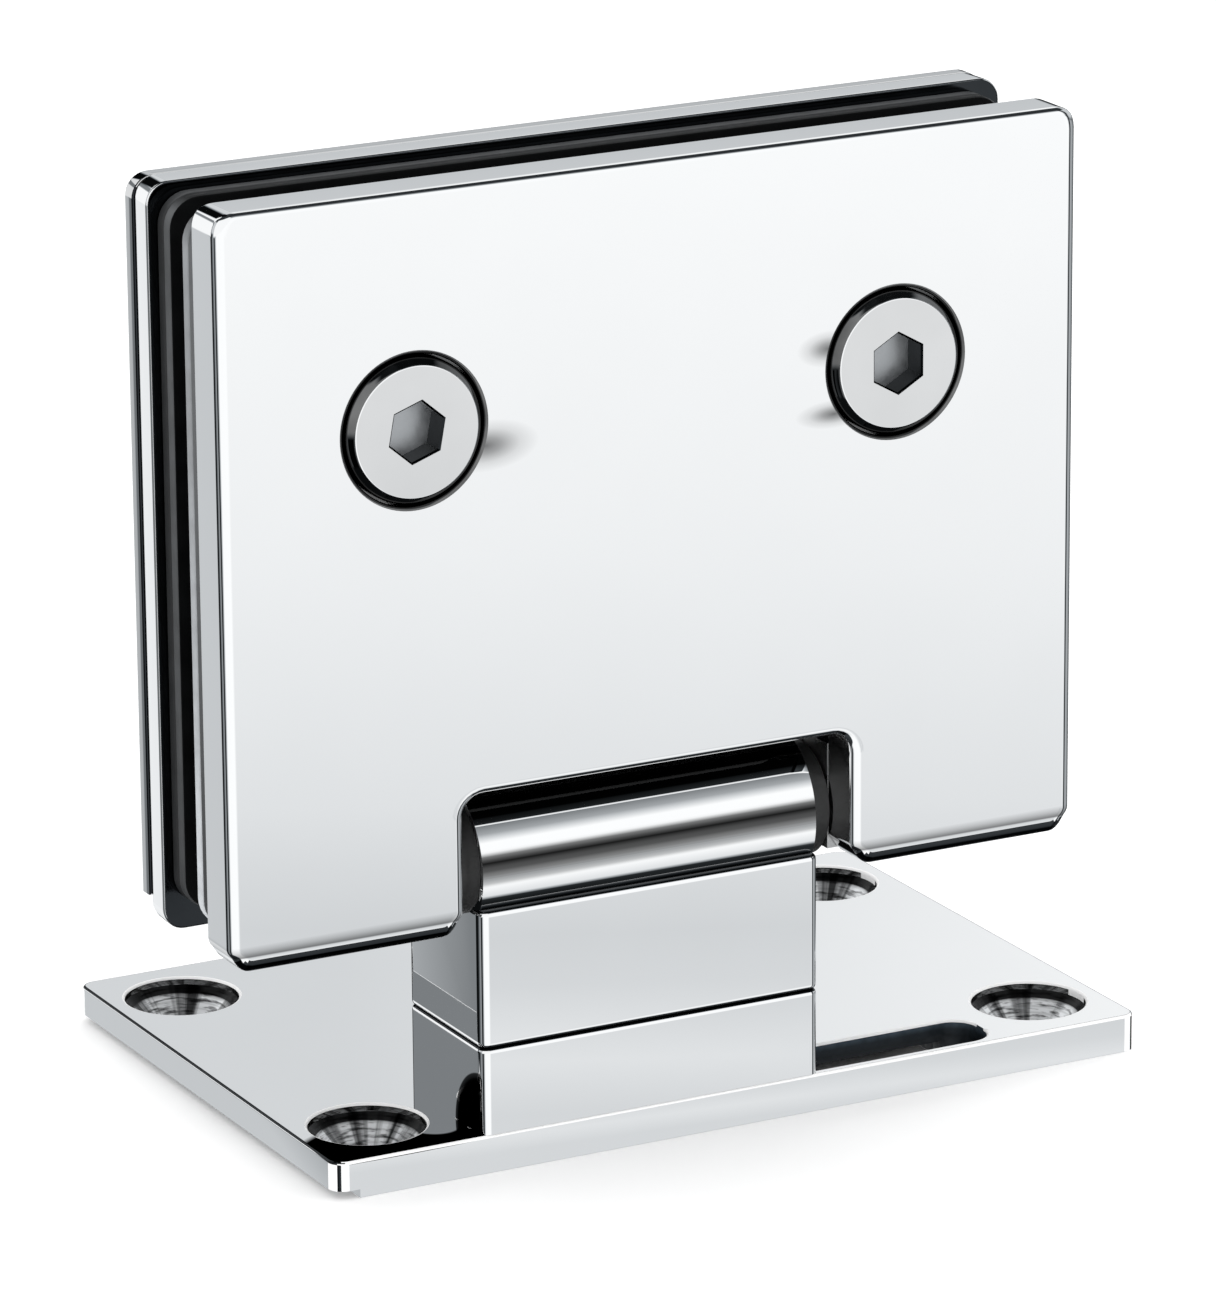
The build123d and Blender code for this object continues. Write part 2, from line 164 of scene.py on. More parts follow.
def step(value, start, end):
    """0 before start, 1 after end, and a soft rise between."""
    node = tent.nodes.new("ShaderNodeMapRange")
    node.interpolation_type = "SMOOTHSTEP"
    tent.links.new(value, node.inputs["Value"])
    node.inputs["From Min"].default_value = start
    node.inputs["From Max"].default_value = end
    return node.outputs["Result"]


def between(value, low, high, softness):
    """1 between low and high, 0 outside, with soft ends."""
    rise = step(value, low - softness, low + softness)
    fall = step(value, high - softness, high + softness)
    return math_node(tent, "SUBTRACT", rise, fall)


def hang(under, over, mask):
    """Hang one cloth over another where the mask says."""
    change = math_node(tent, "SUBTRACT", over, under)
    return math_node(tent, "MULTIPLY_ADD", change, mask, under)


view_ray = tent.nodes.new("ShaderNodeTexCoord")
axes = tent.nodes.new("ShaderNodeSeparateXYZ")
tent.links.new(view_ray.outputs["Generated"], axes.inputs[0])
ray_x, ray_y, ray_z = axes.outputs
degrees = 180 / math.pi
pitch = math_node(tent, "MULTIPLY", math_node(tent, "ARCSINE", ray_z), degrees)
ray_back = math_node(tent, "MULTIPLY", ray_y, -1.0)
turn = math_node(tent, "MULTIPLY", math_node(tent, "ARCTAN2", ray_x, ray_back), degrees)
any_side = math_node(tent, "ABSOLUTE", turn)
print("nodes that measure a direction", len(tent.nodes))

# %% [markdown]
# ## Cutting the cloths
# The sky hangs overhead and the belt all round below the horizon, where upright faces look. The
# front cloth is for faces that look at the lens, and the two top cloths are for level ones. The
# sharp steps in them draw the thin dark lines along the rounded edges.

# %% Cloths
sky = cloth(any_side, [
    (0, 60), (60, 40), (120, 50), (160, 60), (168, 8), (180, 8),
])
belt = cloth(turn, [
    (-175, 238), (-168, 240), (-160.5, 232), (-158, 199), (-154.6, 198), (-154.2, 128),
    (-149, 122), (-147, 12), (-122, 14), (-114, 60), (-84, 160), (-76, 14), (-62, 14),
    (-50, 190), (-40, 252), (16, 254), (46, 252), (52, 16), (58, 16), (64, 176), (104, 100),
    (118, 14), (160, 14), (170, 235),
])
front = cloth(pitch, [
    (-54, 5), (-46, 40), (-42, 225), (-29, 252), (-21, 214), (-20.1, 214), (-19.9, 226),
    (-19.35, 226), (-19.2, 205), (-18.4, 217), (-18.1, 224), (-16, 240), (-12.5, 252),
    (26, 254), (37, 165), (49, 110), (60, 40),
])
top = cloth(turn, [(142, 254), (148.5, 242), (151.5, 228), (154.5, 212), (160, 210)])
top_far = cloth(pitch, [(4, 60), (9, 190), (13.5, 198), (15.5, 204)])
left_low = cloth(pitch, [
    (-12, 248), (13.5, 248), (15.5, 128), (20.4, 128), (21.8, 248), (60, 248),
])
print("world nodes with the cloths", len(tent.nodes))

# %% [markdown]
# ## Hanging them
# Each cloth covers a window of turns and pitches, and the later ones hang over the earlier. White
# light from the high front and from both sides fills in, so that the hinge stays bright when it
# is seen from the left or the right.

# %% Hang the cloths


def window(turns, turn_softness, pitches, pitch_softness, way=turn):
    """1 inside a range of turns and of pitches, 0 outside."""
    return math_node(
        tent, "MULTIPLY", between(way, *turns, turn_softness),
        between(pitch, *pitches, pitch_softness),
    )


high_front = window((-86, 24), 8, (-10, 55), 5)
brightness = hang(sky, belt, between(pitch, -46, -4, 2))
brightness = math_node(tent, "MAXIMUM", brightness, high_front)
sides = window((62, 134), 5, (-2, 40), 5, any_side)
side_light = math_node(tent, "MULTIPLY", sides, light_for(200))
brightness = math_node(tent, "MAXIMUM", brightness, side_light)
brightness = hang(brightness, front, between(turn, 14, 46, 5))
brightness = hang(brightness, top, window((138, 166), 3, (16, 50), 1))
brightness = hang(brightness, top_far, window((138, 166), 3, (5, 16), 1))
brightness = hang(brightness, left_low, window((-170, -142), 2, (-11, 60), 1.5))
print("world nodes so far", len(tent.nodes))

# %% [markdown]
# ## Tint and output
# Polished steel looks a little blue in its dark parts, so the darker the cloth, the cooler it is.
# Then glossy rays take the tent, and every other ray takes the plain white.

# %% World output
cool = tent.nodes.new("ShaderNodeValToRGB")
cool.color_ramp.elements[0].color = (0.86, 1.0, 1.1, 1)
cool.color_ramp.elements[1].color = (0.985, 1.0, 1.01, 1)
cool.color_ramp.elements.new(0.25).color = (0.94, 1.0, 1.05, 1)
tent.links.new(brightness, cool.inputs["Fac"])
tinted = tent.nodes.new("ShaderNodeVectorMath")
tinted.operation = "SCALE"
tent.links.new(cool.outputs["Color"], tinted.inputs[0])
tent.links.new(brightness, tinted.inputs["Scale"])
background = tent.nodes.new("ShaderNodeBackground")
tent.links.new(tinted.outputs[0], background.inputs["Color"])
plain = tent.nodes.new("ShaderNodeBackground")
plain.inputs["Color"].default_value = (1, 1, 1, 1)
plain.inputs["Strength"].default_value = 1.22
rays = tent.nodes.new("ShaderNodeLightPath")
choose = tent.nodes.new("ShaderNodeMixShader")
tent.links.new(rays.outputs["Is Glossy Ray"], choose.inputs[0])
tent.links.new(plain.outputs[0], choose.inputs[1])
tent.links.new(background.outputs[0], choose.inputs[2])
world_output = tent.nodes.new("ShaderNodeOutputWorld")
tent.links.new(choose.outputs[0], world_output.inputs["Surface"])
print("world nodes", len(tent.nodes))

# %% [markdown]
# ## The floor
# One large pale plane. Its material has a trace of mottling, so that it isn't a dead flat
# colour. A faint glow, which starts beside the wall plate, keeps the shadow round it pale, and
# mirrored rays pass the floor by, because the tent is what the metal should show.

# %% Floor
bpy.ops.object.select_all(action="DESELECT")
bpy.ops.mesh.primitive_plane_add(size=8, location=(0, 0, cad_low.z - 0.02 * mm))
floor = bpy.context.object
floor.name = "studio_floor"
floor_paint = bpy.data.materials.new("pale_floor")
floor_paint.use_nodes = True
floor_nodes, floor_links = floor_paint.node_tree.nodes, floor_paint.node_tree.links
shader = floor_nodes["Principled BSDF"]
shader.inputs["Roughness"].default_value = 0.9
shader.inputs["Specular IOR Level"].default_value = 0.1
shader.inputs["Emission Color"].default_value = (1, 1, 1, 1)
where = floor_nodes.new("ShaderNodeTexCoord")
mottle = floor_nodes.new("ShaderNodeTexNoise")
mottle.inputs["Scale"].default_value = 3.0
tones = floor_nodes.new("ShaderNodeValToRGB")
tones.color_ramp.elements[0].color = (0.955, 0.955, 0.957, 1)
tones.color_ramp.elements[1].color = (0.965, 0.965, 0.965, 1)
from_middle = floor_nodes.new("ShaderNodeVectorMath")
from_middle.operation = "LENGTH"
glow = floor_nodes.new("ShaderNodeMapRange")
glow.inputs["From Min"].default_value = 28 * mm
glow.inputs["From Max"].default_value = 50 * mm
glow.inputs["To Max"].default_value = 0.15
floor_links.new(where.outputs["Object"], mottle.inputs["Vector"])
floor_links.new(mottle.outputs["Fac"], tones.inputs["Fac"])
floor_links.new(tones.outputs["Color"], shader.inputs["Base Color"])
floor_links.new(where.outputs["Object"], from_middle.inputs[0])
floor_links.new(from_middle.outputs["Value"], glow.inputs["Value"])
floor_links.new(glow.outputs["Result"], shader.inputs["Emission Strength"])
floor.data.materials.append(floor_paint)
floor.visible_glossy = False
print("floor at z", round(floor.location.z / mm, 2), "mm")

# %% [markdown]
# ## Finishes
# The hinge has four kinds of finish: chrome plate, plain steel, rubber and black nylon. What they
# share is fine unevenness, so one node group makes it, a mask of faint rubbing marks that each
# finish feeds into its roughness.


# %% Rubbing marks, one group for every finish
def new_group(name, inputs, outputs):
    """An empty shader node group with float inputs and outputs."""
    group = bpy.data.node_groups.new(name, "ShaderNodeTree")
    for label, value in inputs.items():
        socket = group.interface.new_socket(label, in_out="INPUT", socket_type="NodeSocketFloat")
        socket.default_value = value
    for label in outputs:
        group.interface.new_socket(label, in_out="OUTPUT", socket_type="NodeSocketFloat")
    return group, group.nodes.new("NodeGroupInput"), group.nodes.new("NodeGroupOutput")


rubbing, rub_in, rub_out = new_group(
    "rubbing_marks", {"Scale": 120.0, "Least": 0.02, "Most": 0.05}, ["Roughness", "Mask"]
)
rub_place = rubbing.nodes.new("ShaderNodeTexCoord")
rub_noise = rubbing.nodes.new("ShaderNodeTexNoise")
rub_noise.inputs["Detail"].default_value = 6.0
rub_range = rubbing.nodes.new("ShaderNodeMapRange")
rub_range.inputs["From Min"].default_value = 0.35
rub_range.inputs["From Max"].default_value = 0.7
rubbing.links.new(rub_place.outputs["Object"], rub_noise.inputs["Vector"])
rubbing.links.new(rub_in.outputs["Scale"], rub_noise.inputs["Scale"])
rubbing.links.new(rub_noise.outputs["Fac"], rub_range.inputs["Value"])
rubbing.links.new(rub_in.outputs["Least"], rub_range.inputs["To Min"])
rubbing.links.new(rub_in.outputs["Most"], rub_range.inputs["To Max"])
rubbing.links.new(rub_range.outputs["Result"], rub_out.inputs["Roughness"])
rubbing.links.new(rub_noise.outputs["Fac"], rub_out.inputs["Mask"])
print("group", rubbing.name, len(rubbing.nodes), "nodes")

# %% [markdown]
# ## Making a finish
# A finish is a Principled shader with that group on it. Chrome plate is a finish with full
# metal, and its grey sets how much of the tent it gives back.


# %% Finish and plate
def finish(name, metallic, shades, rub_scale, least, most, shine=0.5):
    """A material whose colour wanders between two shades and whose roughness has rubbing marks."""
    material = bpy.data.materials.new(name)
    material.use_nodes = True
    nodes, links = material.node_tree.nodes, material.node_tree.links
    surface = nodes["Principled BSDF"]
    surface.inputs["Metallic"].default_value = metallic
    surface.inputs["Specular IOR Level"].default_value = shine
    marks = nodes.new("ShaderNodeGroup")
    marks.node_tree = rubbing
    marks.inputs["Scale"].default_value = rub_scale
    marks.inputs["Least"].default_value = least
    marks.inputs["Most"].default_value = most
    colours = nodes.new("ShaderNodeValToRGB")
    colours.color_ramp.elements[0].color = (*shades[0], 1)
    colours.color_ramp.elements[1].color = (*shades[1], 1)
    links.new(marks.outputs["Mask"], colours.inputs["Fac"])
    links.new(colours.outputs["Color"], surface.inputs["Base Color"])
    links.new(marks.outputs["Roughness"], surface.inputs["Roughness"])
    return material


def grey(level, cold=0.0):
    """A grey base colour, a little blue where cold is above 0."""
    return level * (1 - cold), level, level * (1 + cold)


def plated(name, least, most, rough=0.03, cold=0.0):
    """Chrome plate: brighter or darker, polished or duller."""
    return finish(name, 1.0, (grey(least, cold), grey(most, cold)), 90.0, 0.0, rough)


# %% [markdown]
# ## Painting on a finish
# Real reflections hold more than a simple tent can give. So some reflections and shade are
# painted as marks: a value is worked out from the piece's own coordinates, such as a distance or a
# height, and a ramp on that value darkens the finish.


# %% Painting tools
def own_place(material):
    """The piece's own coordinates as one vector socket and as three numbers."""
    nodes, links = material.node_tree.nodes, material.node_tree.links
    place = nodes.new("ShaderNodeTexCoord").outputs["Object"]
    split = nodes.new("ShaderNodeSeparateXYZ")
    links.new(place, split.inputs[0])
    return place, *split.outputs


def vector_math(material, operation, first, second=None):
    """A Vector Math node of a material. Its second input is a socket or a fixed vector."""
    node = material.node_tree.nodes.new("ShaderNodeVectorMath")
    node.operation = operation
    material.node_tree.links.new(first, node.inputs[0])
    if isinstance(second, tuple):
        node.inputs[1].default_value = second
    elif second is not None:
        material.node_tree.links.new(second, node.inputs[1])
    return node.outputs["Value"] if operation == "LENGTH" else node.outputs[0]


def number_math(material, operation, *values):
    """A Math node of a material."""
    return math_node(material.node_tree, operation, *values)


def distance_from(material, centre, reach):
    """How far a place is from a centre: 0 there, and 1 on an ellipse of the given reach."""
    place = own_place(material)[0]
    offset = vector_math(material, "SUBTRACT", place, centre)
    return vector_math(material, "LENGTH", vector_math(material, "DIVIDE", offset, reach))


def shade_over(material, value, stops, grazing=False):
    """Darken a finish along a value. A stop is a value and the share of the light that stays.
    Metal is bright at a grazing angle whatever its colour, so grazing darkens that as well."""
    links = material.node_tree.links
    surface = material.node_tree.nodes["Principled BSDF"]
    base = surface.inputs["Base Color"]
    share = ramp_along(material.node_tree, value, stops, float)
    links.new(vector_math(material, "MULTIPLY", base.links[0].from_socket, share), base)
    if grazing:
        links.new(share, surface.inputs["Specular Tint"])


def roughen(material, height, strength, depth):
    """Bump a finish by a height socket."""
    nodes, links = material.node_tree.nodes, material.node_tree.links
    bump = nodes.new("ShaderNodeBump")
    bump.inputs["Strength"].default_value = strength
    bump.inputs["Distance"].default_value = depth
    links.new(height, bump.inputs["Height"])
    links.new(bump.outputs["Normal"], nodes["Principled BSDF"].inputs["Normal"])


def noise_at(material, place, scale, detail):
    """A noise on a vector socket."""
    noise = material.node_tree.nodes.new("ShaderNodeTexNoise")
    noise.inputs["Scale"].default_value = scale
    noise.inputs["Detail"].default_value = detail
    material.node_tree.links.new(place, noise.inputs["Vector"])
    return noise.outputs["Fac"]


def grain(material, scale):
    """A fine noise on the piece's own coordinates."""
    return noise_at(material, own_place(material)[0], scale, 8.0)


# %% [markdown]
# ## The set of finishes
# Large pieces get a chrome of their own, because some of them carry painted shade and painted
# reflections. The shaded chrome is painted shade and dark reflection for seams, undersides and
# edge lines, and the bright rim is a painted highlight along edges and corners.

# %% Finishes
chrome = plated("mirror_chrome", 0.93, 0.955)
plate_chrome = plated("front_plate_chrome", 0.93, 0.955)
cover_chrome = plated("cover_chrome", 0.68, 0.74)
# The barrel's own chrome carries painted reflection bands.
barrel_reflection_bands = plated("barrel_reflection_bands", 0.93, 0.955)
head_chrome = plated("screw_head_chrome", 0.66, 0.8)
# Painted shade and painted dark reflection: near-black chrome for seams, undersides and edge
# lines.
shaded_chrome = plated("shaded_chrome", 0.02, 0.05, 0.2, 0.1)
wall_chrome = plated("wall_plate_chrome", 0.93, 0.955)
# Painted highlight: a matt, nearly white finish for bright rims and edges.
painted_highlight = finish("painted_highlight", 0.0, (grey(0.92), grey(0.97)), 200.0, 0.3, 0.5)
# Painted shade with streaks of painted reflection, for the gaps round the screw heads.
painted_shade_ring = finish("painted_shade_ring", 1.0, (grey(0.0), grey(0.3)), 190.0, 0.02, 0.1)
steel = finish("turned_steel", 1.0, (grey(0.42), grey(0.55)), 300.0, 0.25, 0.4)
rubber = finish("black_rubber", 0.0, (grey(0.002), grey(0.006, 0.1)), 400.0, 0.5, 0.8, 0.1)
nylon = finish("black_nylon", 0.0, (grey(0.012), grey(0.03)), 250.0, 0.4, 0.6)
print("finishes", len(bpy.data.materials))

# %% [markdown]
# ## Bench tools
# A few small helpers keep the modelling cells short: one adds a box between two corners, one
# turns a round piece ring by ring, one bevels the edges that pass a test, and one cuts or joins
# with another piece.


# %% Tools that make a shape
def only(piece):
    """Select this piece alone and make it active."""
    if bpy.context.object and bpy.context.object.mode != "OBJECT":
        bpy.ops.object.mode_set(mode="OBJECT")
    bpy.ops.object.select_all(action="DESELECT")
    piece.hide_set(False)
    piece.select_set(True)
    bpy.context.view_layer.objects.active = piece


def settle(piece):
    """Put the piece's place into its mesh, with its normals outwards."""
    only(piece)
    bpy.ops.object.transform_apply(location=True, rotation=True, scale=True)
    bpy.ops.object.mode_set(mode="EDIT")
    bpy.ops.mesh.select_all(action="SELECT")
    bpy.ops.mesh.normals_make_consistent(inside=False)
    bpy.ops.object.mode_set(mode="OBJECT")


def add_box(name, low, high):
    """A box between two corners."""
    bpy.ops.object.select_all(action="DESELECT")
    low, high = Vector(low), Vector(high)
    bpy.ops.mesh.primitive_cube_add(size=1, location=(low + high) / 2)
    piece = bpy.context.object
    piece.scale = high - low
    piece.name = piece.data.name = name
    settle(piece)
    return piece


def turn_piece(name, rings, at, facing, count=96):
    """A turned piece: a disc extruded ring by ring. A ring is a radius and a height."""
    bpy.ops.object.select_all(action="DESELECT")
    radius, height = rings[0]
    bpy.ops.mesh.primitive_circle_add(vertices=count, radius=radius, fill_type="NGON")
    piece = bpy.context.object
    piece.name = piece.data.name = name
    bpy.ops.object.mode_set(mode="EDIT")
    bpy.ops.mesh.select_all(action="SELECT")
    bpy.ops.transform.translate(value=(0, 0, height))
    for next_radius, next_height in rings[1:]:
        bpy.ops.mesh.extrude_region_move(
            TRANSFORM_OT_translate={"value": (0, 0, next_height - height)}
        )
        share = next_radius / radius
        bpy.ops.transform.resize(value=(share, share, 1), center_override=(0, 0, next_height))
        radius, height = next_radius, next_height
    bpy.ops.object.mode_set(mode="OBJECT")
    piece.matrix_world = Matrix.Translation(Vector(at)) @ Vector(facing).to_track_quat(
        "Z", "Y"
    ).to_matrix().to_4x4()
    settle(piece)
    return piece


def bevel_where(piece, test, width, segments=3, profile=0.5):
    """Bevel the edges whose two ends pass the test."""
    only(piece)
    bpy.ops.object.mode_set(mode="EDIT")
    bpy.ops.mesh.select_mode(type="EDGE")
    bpy.ops.mesh.select_all(action="DESELECT")
    shape = bmesh.from_edit_mesh(piece.data)
    chosen = 0
    for edge in shape.edges:
        if test(edge.verts[0].co, edge.verts[1].co):
            edge.select_set(True)
            chosen += 1
    bmesh.update_edit_mesh(piece.data)
    bpy.ops.mesh.bevel(
        offset=width, segments=segments, profile=profile, affect="EDGES", clamp_overlap=False
    )
    bpy.ops.object.mode_set(mode="OBJECT")
    return chosen


def combine(piece, other, operation="DIFFERENCE"):
    """Cut the piece with another, or join the other to it, and use the other up."""
    only(piece)
    tool = piece.modifiers.new("combine", "BOOLEAN")
    tool.operation = operation
    tool.solver = "EXACT"
    tool.object = other
    bpy.ops.object.modifier_apply(modifier=tool.name)
    bpy.data.objects.remove(other)
    return piece


# %% [markdown]
# ## Finishing tools
# The next ones shade a piece and seat it on its body, paint the faces that pass a test, and
# scale the vertices that pass one.


# %% Tools that finish a shape
smooth_angle = math.radians(40)


def complete(piece, material, body, slot, *nodes):
    """Shade, paint and seat a finished piece on its body, in place of its CAD nodes."""
    only(piece)
    bpy.ops.object.shade_smooth_by_angle(angle=smooth_angle)
    weigh = piece.modifiers.new("flat faces stay flat", "WEIGHTED_NORMAL")
    weigh.keep_sharp = True
    weigh.weight = 100
    bpy.ops.object.modifier_apply(modifier=weigh.name)
    piece.data.materials.clear()
    piece.data.materials.append(material)
    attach(piece, body)
    if nodes:
        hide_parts(*nodes)
    print(piece.name, len(piece.data.polygons), "faces")
    return piece


def paint_where(piece, material, test):
    """Give another material to the faces whose middle and normal pass the test."""
    piece.data.materials.append(material)
    slot_number = len(piece.data.materials) - 1
    chosen = [face for face in piece.data.polygons if test(face.center, face.normal)]
    for face in chosen:
        face.material_index = slot_number
    print(piece.name, material.name, len(chosen), "faces")


def resize_where(piece, test, factor, centre):
    """Scale the vertices that pass the test, about a centre."""
    only(piece)
    bpy.ops.object.mode_set(mode="EDIT")
    bpy.ops.mesh.select_mode(type="VERT")
    bpy.ops.mesh.select_all(action="DESELECT")
    shape = bmesh.from_edit_mesh(piece.data)
    for vertex in shape.verts:
        if test(vertex.co):
            vertex.select_set(True)
    bmesh.update_edit_mesh(piece.data)
    bpy.ops.transform.resize(value=factor, center_override=centre)
    bpy.ops.object.mode_set(mode="OBJECT")


def near(value, target, slack=0.01 * mm):
    """True when two lengths agree."""
    return abs(value - target) < slack


def upright(a, b):
    """True for an edge that rises."""
    return abs(a.z - b.z) > 1 * mm


def along_depth(a, b):
    """True for an edge that runs from the front to the back."""
    return abs(a.y - b.y) > 1 * mm


def at_height(*heights):
    """A test for edges that lie level at one of these heights."""
    return lambda a, b: any(near(a.z, height) and near(b.z, height) for height in heights)


def at_depth(*depths):
    """A test for edges that lie in a plane across the depth, at one of these depths."""
    return lambda a, b: any(near(a.y, depth) and near(b.y, depth) for depth in depths)


print("upright edges are bevelled first, then the level ones")


# %% [markdown]
# ## CAD nodes that keep their shape
# Hidden fittings such as the pin, its seats and the small screws are right as they come from
# CAD. They only need a better finish than the plain colour that the file carries.

# %% Finishes for the CAD nodes
finish_of_slot = {
    "polished_chrome": chrome, "plain_steel": steel, "gasket_rubber": rubber, "black_nylon": nylon,
}
for row in frame["record"]["subparts"]:
    node = frame["nodes"][row["node"]]
    node.data.materials.clear()
    node.data.materials.append(finish_of_slot[row["material_slot"]])

# %% [markdown]
# ## The wall plate
# A flat plate with rounded top edges, four sunk screw holes, a slot along its front edge and a
# shallow step under its left end. A box is bevelled first, while its edges are simple, and the
# holes are cut afterwards with turned cutters, which leaves clean rings to soften.

# %% Wall plate
low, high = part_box("wall_plate")
wall_top = high.z
hole_x, hole_y = 36.5 * mm, 21 * mm
wall_plate = add_box("wall_plate_polished", low, high)
bevel_where(wall_plate, upright, 1.5 * mm, 6)
bevel_where(wall_plate, at_height(wall_top), 0.3 * mm, 4)
sink_rings = [  # radius and height: the bore, the cone and a short straight rim
    (2.9 * mm, -1 * mm), (2.9 * mm, 0.2 * mm), (5.7 * mm, 3.0 * mm), (5.7 * mm, 5 * mm),
]
for x in (-hole_x, hole_x):
    for y in (-hole_y, hole_y):
        combine(wall_plate, turn_piece("cutter", sink_rings, (x, y, 0), (0, 0, 1)))
slot_low = Vector((-28.4, -28.6, -1)) * mm
slot_high = Vector((28.4, -22.1, 5)) * mm
slot_cutter = add_box("cutter", slot_low, slot_high)
bevel_where(slot_cutter, upright, 2.6 * mm, 8)
strip_recess = (Vector((-25.8, -23, -1)) * mm, Vector((25.8, -17.0, 1.7)) * mm)
left_step = (Vector((-45, -30, -1)) * mm, Vector((-41.4, 30, 0.85)) * mm)
combine(wall_plate, slot_cutter)
combine(wall_plate, add_box("cutter", *strip_recess))
combine(wall_plate, add_box("cutter", *left_step))
rim_x, rim_y = 43 * mm, 28.9 * mm  # the flat of the plate, inside its rounded border


def on_top_inside(a, b):
    """True for an edge on the flat of the plate, inside its border."""
    inside = max(abs(a.x), abs(b.x)) < rim_x and max(abs(a.y), abs(b.y)) < rim_y
    return at_height(wall_top)(a, b) and inside


def ring_edge(a, b):
    """True on the rims of the holes and of the slot, false on the long edges between them."""
    on_slot = near(a.y, b.y) and (near(a.y, slot_low.y) or near(a.y, slot_high.y))
    return on_top_inside(a, b) and ((a - b).length < 1 * mm or on_slot)


print("rim edges", bevel_where(wall_plate, ring_edge, 0.25 * mm, 3))
complete(wall_plate, wall_chrome, "base", "polished_chrome", "wall_plate")

# %% [markdown]
# ## Painted reflection, shade and highlights on the wall plate
# The photo shows a dark pool at the left front corner of the plate, painted here as a dark
# reflection. It is an ellipse in object coordinates with a notch cut out of it. The cones of the
# holes are turned: fine rings run round them, and painted streaks of highlight and shade run round
# the hole, which also grows dark near its top as painted shade.

# %% Painted dark reflection and turned cones
# Painted dark reflection: the plate's top is darkened inside an ellipse, except in a notch.
painted_dark_reflection = distance_from(
    wall_chrome, (-hole_x, -32 * mm, wall_top), (12.8 * mm, 12.2 * mm, 0.4 * mm)
)
notch = distance_from(
    wall_chrome, (-31 * mm, -22.5 * mm, wall_top), (3.0 * mm, 4.3 * mm, 100 * mm)
)
outside_notch = number_math(wall_chrome, "SUBTRACT", 2.0, notch)
painted_dark_reflection = number_math(wall_chrome, "MAXIMUM", painted_dark_reflection, outside_notch)
shade_over(wall_chrome, painted_dark_reflection, [(0, 0.005), (0.92, 0.01), (0.99, 1), (1, 1)], True)

turned = finish("turned_sink", 0.25, (grey(0.9, 0.02), grey(0.98, 0.02)), 500.0, 0.12, 0.25)
mirrored = vector_math(turned, "ABSOLUTE", own_place(turned)[0])
offset = vector_math(turned, "SUBTRACT", mirrored, (hole_x, hole_y, 0))
spoke = vector_math(turned, "MULTIPLY", offset, (1, 1, 0))
direction = vector_math(turned, "NORMALIZE", spoke)
level_up = vector_math(turned, "MULTIPLY", mirrored, (0, 0, 1 / (0.55 * mm)))
# Painted highlight and shade: streaks and sectors of light and dark round each hole.
highlight_streaks = noise_at(turned, vector_math(turned, "ADD", direction, level_up), 2.2, 3.0)
shade_over(turned, noise_at(turned, direction, 1.7, 4.0), [(0.38, 0.05), (0.44, 0.45), (0.48, 1)])
shade_over(turned, highlight_streaks, [(0.32, 0.1), (0.43, 0.5), (0.5, 1)])
ring_count = number_math(
    turned, "MULTIPLY", vector_math(turned, "LENGTH", spoke), 2 * math.pi / (0.5 * mm)
)
ring_wave = number_math(turned, "SINE", ring_count)
shade_over(turned, ring_wave, [(-1, 0.75), (-0.3, 0.95), (1, 1)])
# Painted shade: the cone goes dark near its top, under the straight rim.
shade_over(turned, own_place(turned)[3], [(2.2 * mm, 1), (2.35 * mm, 0.02)], True)
roughen(turned, ring_wave, 0.6, 0.006 * mm)
# Painted shade: dark chrome for the straight rims inside the holes.
shaded_sink_wall = plated("shaded_sink_wall", 0.05, 0.3, 0.15)
print("turned cones use", len(turned.node_tree.nodes), "nodes")

# %% [markdown]
# ## The walls of the slot
# The slot and the strip in it get steel painted dark with shade, which lightens towards the top.

# %% Slot steel in painted shade
# Painted shade: dark steel in the slot, darker deeper down.
shaded_slot_steel = finish("shaded_slot_steel", 0.5, (grey(0.03, 0.4), grey(0.13, 0.25)), 900.0, 0.3, 0.5)
slot_height = own_place(shaded_slot_steel)[3]
shade_over(shaded_slot_steel, slot_height, [(2.2 * mm, 0.15), (2.9 * mm, 0.3), (3.4 * mm, 1)])
roughen(shaded_slot_steel, grain(shaded_slot_steel, 900.0), 0.8, 0.1 * mm)
frame["nodes"]["slide_strip"].data.materials[0] = shaded_slot_steel
print("slot steel uses", len(shaded_slot_steel.node_tree.nodes), "nodes")

# %% [markdown]
# ## Faces of the wall plate
# Faces are picked by their place and by the way they face: the cones, their straight rims in
# painted shade, the slot in painted shade, bevels with a painted highlight, and the painted dark
# reflection and painted highlight lines of the plate's corners.

# %% Painted faces of the wall plate
def from_sink(place):
    """The distance from the axis of the nearest hole."""
    return math.hypot(abs(place.x) - hole_x, abs(place.y) - hole_y)


def corner_angle(normal):
    """The angle of an upright corner face, from 0 on the side to 90 degrees on the front."""
    if abs(normal.z) < 0.1:
        return math.degrees(math.atan2(abs(normal.y), abs(normal.x)))
    return 0


paint_where(wall_plate, turned, lambda place, normal: (
    from_sink(place) < 5.65 * mm and normal.z > 0.3
))
# Painted shade on the straight rims of the holes.
paint_where(wall_plate, shaded_sink_wall, lambda place, normal: (
    from_sink(place) < 5.72 * mm and abs(normal.z) < 0.3 and place.z > 2.9 * mm
))
# Painted shade on the walls of the slot.
paint_where(wall_plate, shaded_slot_steel, lambda place, normal: (
    abs(place.x) < 28.5 * mm and -28.7 * mm < place.y < -17 * mm and 0 < place.z < 3.56 * mm
))
